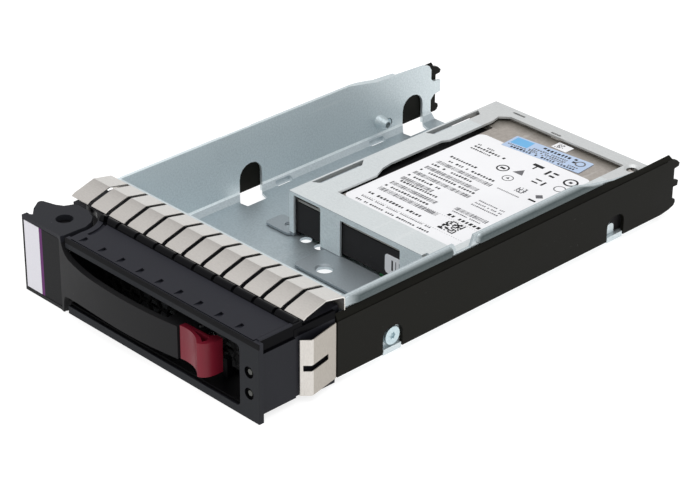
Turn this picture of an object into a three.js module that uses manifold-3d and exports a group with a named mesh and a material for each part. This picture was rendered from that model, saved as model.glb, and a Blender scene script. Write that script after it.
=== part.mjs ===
// A 3.5-inch hot-plug drive carrier that holds a 2.5-inch hard disk drive in an adapter bracket.
// Millimetres. X runs left to right seen from the bezel, Y from the bezel's front face to the rear, Z up.
// Every size below is measured from the bezel's front face (Y = 0) and from the bottom of the side
// rails (Z = 0). The last lines move the origin to the tray's underside, midway between the rail screws.
import * as THREE from "three";
import { mergeVertices } from "three/addons/utils/BufferGeometryUtils.js";
import Module from "manifold-3d";

const wasm = await Module();
wasm.setup();

// ---------------------------------------------------------------- driving dimensions
const gap = 0.3; // clearance between neighbouring pieces
const arcSteps = 8; // half the facets on a full small circle

const bezel = { halfWidth: 54, bottom: -2.1, top: 24.2, plate: 1.8, sideX: 53, sideTop: 20, rearY: 34.2 };
const opening = { left: -33, right: 45.9, bottom: 0.5, top: 20.9 };
const rearFrame = { halfWidth: 52.4, frontY: 18.6, top: 22.5 };

const tray = { halfInside: 50.6, sheet: 1, bottom: -0.6, top: 24.9, frontY: 35.4, rearY: 177 };
const rail = { inside: 51.9, outside: 53.2, frontY: 31.5, shoulder: 19.2, top: 21.1 };
const screwY = [54.35, 155.95]; // standard 101.6 mm spacing of the side screws of a 3.5-inch drive
const screwZ = 4.9;
const screwR = 1.5; // shank of the M3 side screws

const pin = { x: -42.7, y: 7.55, r: 2.5 }; // hinge pin of the ejector lever
const latchPin = { x: 24, y: 5, r: 1 };
const finger = { pitch: 8.8, count: 12, slot: 1.6, sheet: 0.4, right: 52.7 };

const drive = { left: -19.3, right: 50.5, front: 81.7, rear: 182.1, bottom: 0.8, baseTop: 12.9, top: 15.45 };
const bracket = { sheet: 0.8, left: -20.2, right: 50.5, front: 80.5, rear: 177.8, top: 16.7, bottom: 0.7 };
const driveScrewY = [91.5, 168.1]; // standard 76.6 mm spacing of the side screws of a 2.5-inch drive
const driveScrewZ = 3.8;
const footHole = { x: 5.2, y: 72 };
const sideFootHole = { x: -24, y: 84 };
const topScrewHole = { x: 45.2, y: 172.6 };
const pipe = { x: 49.8, z: [6.5, 13.6], r: 0.95 };
const spindle = { x: 15.4, y: 117.2 };
const disk = { r: 32.5, boreR: 10, sheet: 0.8, lowerZ: 7.4, upperZ: 10.2 };
const pivot = { x: 24.4, y: 154.1, r: 2.2 };
const armReach = 34.5; // pivot to read/write head
const parkedAngle = THREE.MathUtils.degToRad(-159.9); // direction of the arms with the heads on the ramp

const floorTop = tray.bottom + tray.sheet;

// ---------------------------------------------------------------- solids
function solid(geometry) {
  const bare = geometry.index ? geometry.toNonIndexed() : geometry.clone();
  bare.deleteAttribute("normal");
  bare.deleteAttribute("uv");
  const merged = mergeVertices(bare);
  return new wasm.Manifold(
    new wasm.Mesh({
      numProp: 3,
      vertProperties: merged.attributes.position.array,
      triVerts: new Uint32Array(merged.index.array),
    }),
  );
}

function geometryOf(body) {
  const mesh = body.getMesh();
  const points = new Float32Array(mesh.numVert * 3);
  for (let i = 0; i < mesh.numVert; i++) {
    for (let k = 0; k < 3; k++) points[3 * i + k] = mesh.vertProperties[mesh.numProp * i + k];
  }
  const geometry = new THREE.BufferGeometry();
  geometry.setAttribute("position", new THREE.BufferAttribute(points, 3));
  geometry.setIndex(Array.from(mesh.triVerts));
  const flat = geometry.toNonIndexed();
  flat.computeVertexNormals();
  return flat;
}

const join = (first, ...rest) => rest.reduce((sum, body) => sum.add(body), first);
const cut = (first, ...rest) => rest.reduce((sum, body) => sum.subtract(body), first);

function block(x0, x1, y0, y1, z0, z1) {
  const box = new THREE.BoxGeometry(x1 - x0, y1 - y0, z1 - z0);
  return solid(box.translate((x0 + x1) / 2, (y0 + y1) / 2, (z0 + z1) / 2));
}

// A prism along each axis: its outline is drawn in (x, y), in (x, z) or in (y, z).
function extruded(shape, depth, steps) {
  return new THREE.ExtrudeGeometry(shape, { depth, bevelEnabled: false, curveSegments: steps });
}
function prismZ(shape, z0, z1, steps = 2) {
  return solid(extruded(shape, z1 - z0, steps).translate(0, 0, z0));
}
function prismY(shape, y0, y1, steps = 2) {
  const turn = new THREE.Matrix4().makeBasis(
    new THREE.Vector3(1, 0, 0),
    new THREE.Vector3(0, 0, 1),
    new THREE.Vector3(0, -1, 0),
  );
  return solid(extruded(shape, y1 - y0, steps).applyMatrix4(turn).translate(0, y1, 0));
}
function prismX(shape, x0, x1, steps = 2) {
  const turn = new THREE.Matrix4().makeBasis(
    new THREE.Vector3(0, 1, 0),
    new THREE.Vector3(0, 0, 1),
    new THREE.Vector3(1, 0, 0),
  );
  return solid(extruded(shape, x1 - x0, steps).applyMatrix4(turn).translate(x0, 0, 0));
}

const outline = (points) => new THREE.Shape(points.map(([a, b]) => new THREE.Vector2(a, b)));

function roundedRect(a0, a1, b0, b1, r) {
  const s = new THREE.Shape();
  s.moveTo(a0 + r, b0);
  s.lineTo(a1 - r, b0);
  s.absarc(a1 - r, b0 + r, r, -Math.PI / 2, 0);
  s.lineTo(a1, b1 - r);
  s.absarc(a1 - r, b1 - r, r, 0, Math.PI / 2);
  s.lineTo(a0 + r, b1);
  s.absarc(a0 + r, b1 - r, r, Math.PI / 2, Math.PI);
  s.lineTo(a0, b0 + r);
  s.absarc(a0 + r, b0 + r, r, Math.PI, 1.5 * Math.PI);
  return s;
}

// A window with a rounded top: a0 to a1 wide, from b0 up to b1.
function arch(a0, a1, b0, b1, r) {
  const s = new THREE.Shape();
  s.moveTo(a0, b0);
  s.lineTo(a1, b0);
  s.lineTo(a1, b1 - r);
  s.absarc(a1 - r, b1 - r, r, 0, Math.PI / 2);
  s.absarc(a0 + r, b1 - r, r, Math.PI / 2, Math.PI);
  return s;
}

function disc(x, y, r) {
  const s = new THREE.Shape();
  s.absarc(x, y, r, 0, 2 * Math.PI);
  return s;
}

// A ring sector about (x, y), between two radii and two angles.
function fan(x, y, r0, r1, from, to) {
  const s = new THREE.Shape();
  s.absarc(x, y, r1, from, to, false);
  s.absarc(x, y, r0, to, from, true);
  return s;
}

const rodZ = (x, y, r, z0, z1, steps = arcSteps) => prismZ(disc(x, y, r), z0, z1, steps);
const rodY = (x, z, r, y0, y1, steps = arcSteps) => prismY(disc(x, z, r), y0, y1, steps);
const rodX = (y, z, r, x0, x1, steps = arcSteps) => prismX(disc(y, z, r), x0, x1, steps);

// A body turned about a vertical axis at (x, y). The profile lists (radius, z) and closes on itself.
function turned(profile, x, y, steps) {
  const points = [...profile, profile[0]].map(([r, z]) => new THREE.Vector2(r, z));
  return solid(new THREE.LatheGeometry(points, steps).rotateX(Math.PI / 2).translate(x, y, 0));
}

function star(a, b, outer, inner, count) {
  const points = [];
  for (let i = 0; i < 2 * count; i++) {
    const r = i % 2 ? inner : outer;
    const t = (Math.PI * i) / count;
    points.push([a + r * Math.cos(t), b + r * Math.sin(t)]);
  }
  return outline(points);
}

const mirroredX = (body) => body.mirror([1, 0, 0]);

// ---------------------------------------------------------------- materials
function finish(color, roughness, metalness) {
  return new THREE.MeshStandardMaterial({ color, roughness, metalness });
}
const zinc = finish(0x9aa5ab, 0.45, 0.85);
const paleZinc = finish(0xc4c9cc, 0.5, 0.75);
const springSteel = finish(0xcfc8c2, 0.42, 0.8);
const charcoal = finish(0x2c2d31, 0.62, 0);
const railBlack = finish(0x24231f, 0.55, 0);
const maroon = finish(0x6b1a2a, 0.42, 0);
const lightPipe = finish(0x8f9390, 0.25, 0);
const screwZinc = finish(0xb9c4c8, 0.35, 0.9);
const paper = finish(0xe6e6ea, 0.6, 0);
const blueFilm = finish(0xa9bddf, 0.4, 0);
const castBlack = finish(0x26272a, 0.55, 0.3);
const coverMetal = finish(0x9d958c, 0.42, 0.8);
const boardGreen = finish(0x1d4a2c, 0.5, 0);
const blackPlastic = finish(0x151517, 0.5, 0);
const blackRubber = finish(0x1b1b1b, 0.8, 0);
const machined = finish(0xc9ccd0, 0.25, 0.95);
const mirrorDisk = finish(0xd9dce0, 0.06, 1);
const nickel = finish(0xb4b6b8, 0.3, 0.95);
const copper = finish(0xb06a3a, 0.35, 0.9);
const amberFilm = finish(0xb8752a, 0.45, 0);
const whiteFelt = finish(0xdad9d2, 0.9, 0);

const assembly = new THREE.Group();
function add(name, body, material) {
  const mesh = new THREE.Mesh(geometryOf(body), material);
  mesh.name = name;
  assembly.add(mesh);
}

// ---------------------------------------------------------------- tray
// Each wall's top edge, front to rear. The right wall dips between its two beads and falls away further
// behind them than the left wall does.
const leftEdge = [
  [tray.frontY, tray.top],
  [137, tray.top],
  [150, 22.4],
  [173.5, 21.2],
  [175.9, 20.4],
  [tray.rearY, 18.6],
];
const rightEdge = [
  [tray.frontY, tray.top],
  [81.5, tray.top],
  [83, 21.3],
  [89, 21.3],
  [90.5, tray.top],
  [137, tray.top],
  [145, 22.6],
  [156, 20.5],
  [168, 19],
  [175.9, 18.2],
  [tray.rearY, 17.4],
];
const wallOutline = (topEdge) => outline([
  [tray.frontY, tray.bottom],
  ...topEdge,
  [tray.rearY, 15],
  [178.2, 13.8],
  [181.7, 13.4],
  [181.7, 9],
  [178.6, 8.6],
  [tray.rearY, 7],
  [tray.rearY, tray.bottom],
]);

// Half-round bead pressed outwards along a wall's top edge. It swells from the wall over "lead" at its
// front end, stays above the rail and follows the wall's sloping rear edge.
const beadR = 1.95;
function bead(topEdge, y0, y1, lead) {
  const capsule = new THREE.CapsuleGeometry(beadR, y1 - y0 - 2 * beadR, 3, 12);
  const bar = solid(capsule.translate(tray.halfInside + 0.65, (y0 + y1) / 2, tray.top - beadR));
  const wallFace = tray.halfInside + tray.sheet;
  const plan = outline([[50, y0], [wallFace, y0], [54, y0 + lead], [54, y1 + 1], [50, y1 + 1]]);
  const aboveRail = prismZ(plan, rail.top + 0.8, tray.top + 1);
  return bar.intersect(aboveRail).intersect(prismX(wallOutline(topEdge), 40, 60));
}

function trayWall(topEdge, beadEnd) {
  const wall = prismX(wallOutline(topEdge), tray.halfInside, tray.halfInside + tray.sheet);
  const inside = block(0, tray.halfInside, 0, 200, 0, 30);
  const lips = screwY.map((y) => block(51, 53, y - 3.7, y + 3.7, tray.bottom, 1.3));
  return join(cut(join(wall, bead(topEdge, 35.4, 81, 9), bead(topEdge, 91, beadEnd, 2)), inside), ...lips);
}

// The right wall has a rear opening with a tab standing in it, and the left wall a second screw hole.
function makeRightWall() {
  const opening = prismX(arch(151, 162, 0.9, 9, 3), 50, 51.7);
  const tab = prismX(arch(153.4, 156.9, 0.5, 5, 1.4), tray.halfInside, tray.halfInside + tray.sheet);
  const screwHole = rodX(screwY[0], screwZ, screwR + gap, 50, 52);
  return join(cut(trayWall(rightEdge, 160), opening, screwHole), tab);
}
function makeLeftWall() {
  const wall = mirroredX(trayWall(leftEdge, 180));
  return cut(wall, ...screwY.map((y) => rodX(y, screwZ, screwR + gap, -52, -50)));
}

function makeTray() {
  const half = tray.halfInside + tray.sheet;
  const floor = block(-half, half, tray.frontY, tray.rearY, tray.bottom, floorTop);
  const foldSize = 2.2;
  const fold = prismY(
    outline([
      [-tray.halfInside - 0.5, floorTop - 0.5],
      [-tray.halfInside + foldSize, floorTop - 0.5],
      [-tray.halfInside + foldSize, floorTop],
      [-tray.halfInside, floorTop + foldSize],
      [-tray.halfInside - 0.5, floorTop + foldSize],
    ]),
    tray.frontY + 0.5,
    tray.rearY,
  );
  const ventShape = (i) => roundedRect(-43 + 22 * i, -25 + 22 * i, 4, 20, 2);
  const front = block(-half, half, tray.frontY, tray.frontY + tray.sheet, tray.bottom, tray.top);
  const vents = [0, 1, 2, 3].map((i) => prismY(ventShape(i), 35, 37));
  const stud = { y: 151.4, z: 7 };
  const studProfile = [
    [1.1, -tray.halfInside - 0.5],
    [2.5, -tray.halfInside - 0.5],
    [2.5, -tray.halfInside],
    [1.9, -tray.halfInside + 2.2],
    [1.5, -tray.halfInside + 4.3],
    [1.1, -tray.halfInside + 4.3],
  ];
  const studPoints = [...studProfile, studProfile[0]].map(([r, x]) => new THREE.Vector2(r, x));
  const studTurned = new THREE.LatheGeometry(studPoints, 2 * arcSteps).rotateZ(-Math.PI / 2);
  // Two openings that run from the left wall round the fold into the floor.
  const windows = [86.2, 162.9].flatMap((y) => [
    prismX(arch(y, y + 10, -1, 11.7, 4.8), -52, -50),
    prismZ(
      outline([
        [-52, y],
        [-50.6, y],
        [-47.4, y - 2.6],
        [-44.2, y - 2.2],
        [-44.2, y + 6.6],
        [-48.2, y + 7.8],
        [-50.6, y + 10],
        [-52, y + 10],
      ]),
      -1,
      3,
    ),
  ]);
  const slots = [100.8, 144.9].map((y) => prismZ(roundedRect(-49.6, -47.9, y, y + 7.4, 0.7), -1, 3));
  const floorHoles = [
    rodZ(-14, 82, 2, -1, 1),
    rodZ(-7.4, 82, 2, -1, 1),
    rodZ(sideFootHole.x, sideFootHole.y, 1.6, -1, 1),
    rodZ(footHole.x, footHole.y, 3.2, -1, 1),
    rodZ(-27.5, 96, 1.2, -1, 1),
  ];
  const shell = cut(join(floor, fold, front, makeRightWall(), makeLeftWall()), ...windows);
  return cut(join(shell, solid(studTurned.translate(0, stud.y, stud.z))), ...vents, ...slots, ...floorHoles);
}
add("tray", makeTray(), zinc);

// ---------------------------------------------------------------- side rails and their screws
// The left rail ends further forward than the right one and its lower edge is higher.
const leftRail = { shorter: 4.2, bottom: 1.1 };
function makeRail(shorter, bottom) {
  const rear = [
    [179.5, 0],
    [183.4, 0.6],
    [185.7, 1.4],
    [186.4, 2.5],
    [186.1, 3.6],
    [184.8, 3.8],
    [184.8, 8.5],
    [186.9, 8.4],
    [187.2, 10.2],
    [184.8, 11],
    [184.8, 15.2],
    [187, 15.5],
    [187.3, 16.6],
    [185.8, 18],
    [183.6, 18.8],
    [182.6, 20.5],
    [168, 20.3],
    [150, rail.top],
  ].map(([y, z]) => [y - shorter, z]);
  const side = outline([[rail.frontY, 0], ...rear, [rail.frontY, rail.top]]);
  const section = outline([
    [rail.inside, -1],
    [rail.outside, -1],
    [rail.outside, rail.shoulder],
    [rail.outside - 0.25, rail.shoulder + 0.25],
    [rail.inside + 0.1, rail.top],
    [rail.inside, rail.top],
  ]);
  const body = prismX(side, rail.inside - 1, rail.outside + 1).intersect(prismY(section, 30, 190));
  const notches = screwY.map((y) => prismX(arch(y - 4.1, y + 4.1, -1, 8.3, 3), 51, 54));
  const groove = block(rail.outside - 0.25, 54, 30, 181, rail.shoulder - 0.35, rail.shoulder);
  return cut(body, ...notches, groove, block(50, 55, 30, 190, -1, bottom));
}
add("right_rail", makeRail(0, 0), railBlack);
add("left_rail", mirroredX(makeRail(leftRail.shorter, leftRail.bottom)), railBlack);

function railScrew(y) {
  const head = rodX(y, screwZ, 3, rail.inside, rail.outside - 0.1, 10);
  const socket = prismX(star(y, screwZ, 1.3, 0.85, 6), rail.outside - 0.8, 54);
  return cut(join(head, rodX(y, screwZ, screwR, tray.halfInside + 0.1, 52)), socket);
}
add("rail_screw_right_front", railScrew(screwY[0]), screwZinc);
add("rail_screw_left_front", mirroredX(railScrew(screwY[0])), screwZinc);
add("rail_screw_left_rear", mirroredX(railScrew(screwY[1])), screwZinc);

// ---------------------------------------------------------------- bezel
const pinClearR = 10.4; // the lever head turns inside this radius

function bezelTop() {
  const s = new THREE.Shape();
  s.moveTo(opening.left + 1, 0);
  s.lineTo(52.3, 0);
  s.lineTo(52.3, 18.3);
  s.lineTo(-45.5, 18.3);
  s.absarc(pin.x, pin.y, pinClearR, 1.7, -0.15, true);
  return s;
}

function bezelLug() {
  const arm = block(pin.x - 2.5, pin.x + 3.5, pin.y, 19, 3, 13);
  return cut(join(rodZ(pin.x, pin.y, 4.6, 3, 13), arm), rodZ(pin.x, pin.y, pin.r + gap, 2, 14));
}

function makeBezel() {
  const frontFrame = cut(
    block(opening.left, bezel.halfWidth, 0, bezel.plate, bezel.bottom, bezel.top),
    prismY(roundedRect(-60, opening.right, opening.bottom, opening.top, 1.5), -1, 3),
  );
  const top = prismZ(bezelTop(), 22.2, bezel.top, 5);
  const sideBlock = block(46, bezel.sideX, 1, 15.2, 0, bezel.sideTop);
  const sideRoof = block(46, 52.3, 1, 18.4, 19, 23);
  const floor = block(opening.left, 52.4, 1, rearFrame.frontY + 1, 0, 1.2);
  const frame = cut(
    join(
      block(-rearFrame.halfWidth, rearFrame.halfWidth, rearFrame.frontY, rail.frontY - gap, 0, rearFrame.top),
      block(-tray.halfInside, tray.halfInside, rearFrame.frontY, bezel.rearY, 0, rearFrame.top),
    ),
    prismY(roundedRect(-34, 48, 1.6, 20.2, 2), 18, 36),
  );
  const sideLink = block(46.5, rearFrame.halfWidth, 15, rearFrame.frontY + 1, 0, rearFrame.top);
  const neck = block(opening.left, 48, 17, rearFrame.frontY + 1, 20.2, 23);
  const catchPost = block(30.8, 33, 6.6, 8.6, 0.6, 7.8);
  const ridge = block(51.2, 52.3, 1.8, 18.3, 24, 24.55);
  const lineDepth = 0.35;
  const edgeLines = [
    block(-31, 51.2, 0.6, 1.1, bezel.top - lineDepth, 26),
    block(50.7, 51.2, 0.6, 14.6, bezel.top - lineDepth, 26),
  ];
  const heel = block(46, rearFrame.halfWidth, 23.5, rail.frontY - gap, -1.9, 0.5);
  const leftWall = block(-32.3, -31.75, 2.6, rearFrame.frontY + 1, 1, 22.4);
  const rearLeft = block(-44, -32, 18, 19, 20.4, 24);
  const bars = [];
  for (let i = 0; i < 10; i++) {
    const x = 48.2 - finger.pitch * i;
    bars.push(rodX(16.2, bezel.top, 1.45, x - 3.85, x + 3.85, 6));
  }
  const dimples = [];
  for (let i = 0; i < 9; i++) {
    const x = 42.4 - finger.pitch * i;
    const plan = outline([[x - 0.7, 1.7], [x + 0.9, 2.8], [x + 0.5, 4.8], [x - 1, 5.1]]);
    const ramp = outline([[1.7, bezel.top], [5.2, bezel.top - 1], [5.2, 26], [1.7, 26]]);
    dimples.push(prismZ(plan, bezel.top - 1, 26).intersect(prismX(ramp, x - 2, x + 2)));
  }
  const collar = prismZ(fan(pin.x, pin.y, 12.3, 13.8, -0.08, 0.75), bezel.top - 0.6, 26, 4);
  const pipeBores = pipe.z.flatMap((z) => [
    rodY(pipe.x, z, pipe.r + 0.25, -1, 36, 6),
    rodY(pipe.x, z, 1.9, -1, 0.7, arcSteps),
  ]);
  const body = join(frontFrame, top, sideBlock, sideRoof, floor, frame, sideLink, neck, rearLeft, bezelLug());
  const whole = join(body, catchPost, ridge, leftWall, heel, mirroredX(heel), ...bars);
  return cut(whole, ...dimples, collar, ...edgeLines, ...pipeBores);
}
add("bezel", makeBezel(), charcoal);

function makeGrille() {
  const plate = block(-31.6, 45.6, 12, 13, 1.5, 21.9);
  const across = 4.3;
  const pitch = 4.9;
  const cells = [];
  for (let column = 0; column < 18; column++) {
    for (let row = 0; row < 4; row++) {
      const x = 44.4 - column * pitch * 0.866;
      const z = 4.6 + row * pitch + (column % 2 ? 0 : pitch / 2 - 0.4);
      if (z + across / 2 > 21.5 || x - across / 2 < -31) continue;
      cells.push(rodY(x, z, (across / 2) * 1.12, 11, 14, 3));
    }
  }
  return cut(plate, ...cells);
}
add("honeycomb_vent", makeGrille(), blackPlastic);

["light_pipe_lower", "light_pipe_upper"].forEach((name, i) => {
  add(name, rodY(pipe.x, pipe.z[i], pipe.r, 0.45, 34.8, 6), lightPipe);
});

// ---------------------------------------------------------------- shielding springs
function makeFingerStrip() {
  const t = finger.sheet;
  const profile = outline([
    [18.6, 24.1],
    [19.8, 24.8],
    [27.4, 27],
    [34, 25.6],
    [34.6, 25.2],
    [34.6, 21.3],
    [35, 21.3],
    [35, 25.4],
    [34.3, 25.6 + t],
    [27.4, 27 + t],
    [19.7, 24.8 + t],
    [18.4, 24.1 + t],
  ]);
  const left = finger.right - finger.pitch * finger.count;
  const slots = [];
  for (let i = 1; i < finger.count; i++) {
    const x = left + finger.pitch * i;
    slots.push(block(x - finger.slot / 2, x + finger.slot / 2, 18, 34.2, 23, 29));
  }
  return cut(prismX(profile, left, finger.right), ...slots);
}
add("emi_finger_strip", makeFingerStrip(), springSteel);

function makeClip() {
  const t = finger.sheet;
  const plan = outline([
    [52.7, 16.7],
    [53.1, 16.7],
    [55.4, 19.1],
    [55.4, 19.9],
    [53.1, 31.1],
    [52.7, 31.1],
    [55.4 - t, 19.8],
    [55.4 - t, 19.3],
  ]);
  const slot = block(53.2, 56, 17.4, 27.2, 8.3, 10.2);
  return cut(prismZ(plan, 0, 18.7), slot);
}
add("emi_clip_right", makeClip(), springSteel);
add("emi_clip_left", cut(mirroredX(makeClip()), block(-56, -50, 16, 19.2, -1, 20)), springSteel);

// ---------------------------------------------------------------- ejector lever
function leverHead() {
  const s = new THREE.Shape();
  s.moveTo(-54, -0.2);
  s.lineTo(-53.6, 1);
  s.lineTo(-51.7, 2.3);
  s.quadraticCurveTo(-55, 4.6, -57.2, 8.5);
  s.quadraticCurveTo(-57.4, 9.9, -56.4, 10.1);
  s.quadraticCurveTo(-51, 11.3, -49.6, 12.8);
  s.quadraticCurveTo(-48.6, 16.4, -46.6, 16.3);
  s.lineTo(-42.6, 16.2);
  s.absarc(pin.x, pin.y, 8.6, 1.4, -0.25, true);
  s.lineTo(-34.4, 0.6);
  s.lineTo(-36, -0.2);
  return s;
}

// The arm is a thin bowed wall: its front face bulges about 3 mm between its ends.
function leverArm() {
  const radius = 149;
  const middle = -7.5;
  const wall = 2;
  const centreY = radius - 3.05;
  const half = Math.asin(29 / radius);
  const bow = fan(middle, centreY, radius - wall, radius, -Math.PI / 2 - half, -Math.PI / 2 + half);
  const face = new THREE.Shape();
  face.moveTo(-36.5, bezel.top);
  face.lineTo(-34.6, bezel.top);
  face.quadraticCurveTo(-34.2, 19.4, -30.5, 18.3);
  face.quadraticCurveTo(-24, 16.9, -14, 16.9);
  face.lineTo(19.4, 15.9);
  face.lineTo(19.4, 4.9);
  face.lineTo(-14, 5.6);
  face.quadraticCurveTo(-28, 5.5, -33.2, 4);
  face.quadraticCurveTo(-34.4, 3.4, -34.6, bezel.bottom);
  face.lineTo(-36.5, bezel.bottom);
  return prismZ(bow, bezel.bottom, bezel.top, 12).intersect(prismY(face, -5, 6, 4));
}

function makeLever() {
  const head = leverHead();
  const plates = [prismZ(head, 20.9, bezel.top), prismZ(head, bezel.bottom, 1.2)];
  const frontWall = block(-54, -36, -0.2, 1.8, bezel.bottom, bezel.top);
  const nose = prismZ(head, bezel.bottom, bezel.top).intersect(block(-60, -51.2, -1, 13, -3, 25));
  const endBlock = block(13.5, 19.4, 0, 6.8, 4.9, 15.9);
  const lugs = [[4.9, 7.2], [14, 15.9]].flatMap(([z0, z1]) => [
    rodZ(latchPin.x, latchPin.y, 2.5, z0, z1),
    block(18, latchPin.x, 3.2, 6.8, z0, z1),
  ]);
  const holes = [
    rodZ(pin.x, pin.y, pin.r + gap, -3, 25, 10),
    rodZ(latchPin.x, latchPin.y, latchPin.r + gap, 4, 17, 5),
    block(-53.4, -35.6, -1, 0.1, -0.9, 22.9),
  ];
  return cut(join(...plates, frontWall, nose, leverArm(), endBlock, ...lugs), ...holes);
}
add("ejector_lever", makeLever(), charcoal);
add("lever_label", block(-53.2, -35.8, -0.15, 0, -0.7, 22.7), paper);
add("lever_pin", rodZ(pin.x, pin.y, pin.r, -1.6, 22, 10), blackPlastic);
add("latch_pin", rodZ(latchPin.x, latchPin.y, latchPin.r, 5.2, 15.6, 6), nickel);

class Helix extends THREE.Curve {
  constructor(x, y, z, radius, rise, turns) {
    super();
    Object.assign(this, { x, y, z, radius, rise, turns });
  }
  getPoint(t, target = new THREE.Vector3()) {
    const angle = 2 * Math.PI * this.turns * t;
    const dx = this.radius * Math.cos(angle);
    const dy = this.radius * Math.sin(angle);
    return target.set(this.x + dx, this.y + dy, this.z + this.rise * t);
  }
}

function makeTorsionSpring() {
  const wire = disc(0, 0, 0.4);
  const path = new Helix(pin.x, pin.y, 14, 3.7, 4.4, 4.25);
  const steps = 51;
  const coil = new THREE.ExtrudeGeometry(wire, { extrudePath: path, steps, curveSegments: 3 });
  return solid(coil);
}
add("lever_spring", makeTorsionSpring(), nickel);

function makeLatch() {
  const z0 = 5.1;
  const z1 = 16.4;
  const shell = new THREE.Shape();
  shell.moveTo(20, -0.1);
  shell.quadraticCurveTo(26.5, 1, 31, -3.2);
  shell.quadraticCurveTo(34.4, -2.6, 34, 4.2);
  shell.lineTo(31.6, 4.2);
  shell.lineTo(30.4, 2.4);
  shell.lineTo(20, 2.1);
  const cavity = outline([[24.2, 1.35], [29.6, -0.2], [31.4, -1.4], [31.9, 0.2], [30.9, 1.5]]);
  const barrel = rodZ(latchPin.x, latchPin.y, 2.2, 7.6, 13.6);
  const web = block(22.6, 25.4, 1.5, 4, 7.6, 13.6);
  const hookArm = block(27, 28.8, 1, 10.9, 5.6, 7.8);
  const hookTip = prismZ(outline([[28.4, 8.9], [30.4, 9.3], [30.4, 9.9], [28.4, 10.9]]), 5.6, 7.8);
  const body = join(prismZ(shell, z0, z1, 8), barrel, web, hookArm, hookTip);
  return cut(body, prismZ(cavity, 7.2, 18), rodZ(latchPin.x, latchPin.y, latchPin.r + gap, 7, 14, 5));
}
add("release_latch", makeLatch(), maroon);

function makeLeafSpring() {
  const t = 0.3;
  const line = [[15.5, 7.2], [20, 7.3], [24, 7.8], [27.5, 7.2]];
  const back = line.map(([x, y]) => [x, y + t]).reverse();
  return prismZ(outline([...line, ...back]), 8.2, 12.8);
}
add("latch_spring", makeLeafSpring(), nickel);

// ---------------------------------------------------------------- adapter bracket
// The top frame. Its left bar steps inwards twice along its length.
function bracketTop() {
  const { left, right, front, rear } = bracket;
  const inset = left + 3.4;
  const outer = outline([
    [left, front],
    [right, front],
    [right, rear],
    [left, rear],
    [left, 168.4],
    [inset, 166.2],
    [inset, 143.6],
    [left + 0.2, 141.9],
    [left + 0.2, 113.8],
    [inset, 109.8],
    [inset, 91.4],
    [left, 89],
  ]);
  const window = outline([
    [-8.6, 90.8],
    [42, 90.8],
    [42, 172.2],
    [-8.2, 172.2],
    [-11.3, 169.4],
    [-10.4, 165.4],
    [-10.3, 144.4],
    [-11.6, 141.8],
    [-11.6, 118],
    [-10.8, 113.4],
    [-8.5, 108.4],
  ]);
  outer.holes.push(window);
  return prismZ(outer, bracket.top - bracket.sheet, bracket.top);
}

function makeBracket() {
  const { sheet, left, right, front, rear, top, bottom } = bracket;
  const frontWall = block(left, right, front, front + sheet, bottom, top);
  const leftWall = block(left, left + sheet, front, rear, bottom, top);
  const sideWindows = [[90, 112], [142, 167.6]].map(([y0, y1]) =>
    prismX(roundedRect(y0, y1, 8.4, 15.1, 1), left - 1, left + sheet + 0.01),
  );
  const feet = [
    prismZ(roundedRect(-4.2, 49.6, 66.8, front + sheet, 2), bottom, bottom + sheet),
    prismZ(roundedRect(-31, left + sheet, 79.4, 87.4, 1.5), bottom, bottom + sheet),
  ];
  const frontWindows = [
    prismY(roundedRect(-18.2, -5.8, 0, 15.6, 0.6), front - 1, front + sheet + 1),
    prismY(roundedRect(3.2, 29.8, bottom + sheet, 14.7, 0.4), front - 1, front + sheet + 1),
    block(39.2, 43.2, front - 1, front + 2.2, 14.6, 18),
  ];
  const holes = [
    rodZ(footHole.x, footHole.y, 2.7, 0, 3),
    turned([[0, 0.9], [2.7, 0.9], [3.6, 2], [0, 2]], footHole.x, footHole.y, 2 * arcSteps),
    rodZ(sideFootHole.x, sideFootHole.y, 1.6, 0, 3),
    rodZ(topScrewHole.x, topScrewHole.y, 1.7, 14, 18),
    turned([[0, 15.7], [1.7, 15.7], [3.2, 17], [0, 17]], topScrewHole.x, topScrewHole.y, 2 * arcSteps),
    prismZ(roundedRect(9.2, 13.6, 172.8, 173.8, 0.4), 14, 18, 3),
    prismZ(roundedRect(-10, -4.5, 174.9, 175.9, 0.4), 14, 18, 3),
    ...driveScrewY.map((y) => rodX(y, driveScrewZ, screwR + gap, left - 1, left + 2)),
  ];
  const body = join(bracketTop(), frontWall, leftWall, ...feet);
  return cut(body, ...sideWindows, ...frontWindows, ...holes);
}
add("drive_bracket", makeBracket(), paleZinc);

driveScrewY.forEach((y, i) => {
  const head = rodX(y, driveScrewZ, 2.6, bracket.left - 1.4, bracket.left - 0.1);
  const shank = rodX(y, driveScrewZ, screwR, bracket.left - 0.2, drive.left + 1.6);
  const socket = prismX(star(y, driveScrewZ, 1.2, 0.8, 6), bracket.left - 2, bracket.left - 0.9);
  add(i ? "drive_screw_rear" : "drive_screw_front", cut(join(head, shank), socket), screwZinc);
});

// ---------------------------------------------------------------- hard disk drive: enclosure
const coverScrewSpots = [[-12.4, 85.2], [46, 86], [-14.5, 175.5], [45.3, 175.5], [15.4, 175.5]];

// The chamber's outline is a circle round the disks and a rectangle behind them, grown by "more".
function chamber(more, z0, z1) {
  const rearRoom = roundedRect(-16.4 - more, 47.2 + more, 128 - more, 173 + more, 2);
  return join(rodZ(spindle.x, spindle.y, disk.r + 0.6 + more, z0, z1, 20), prismZ(rearRoom, z0, z1, 2));
}

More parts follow.
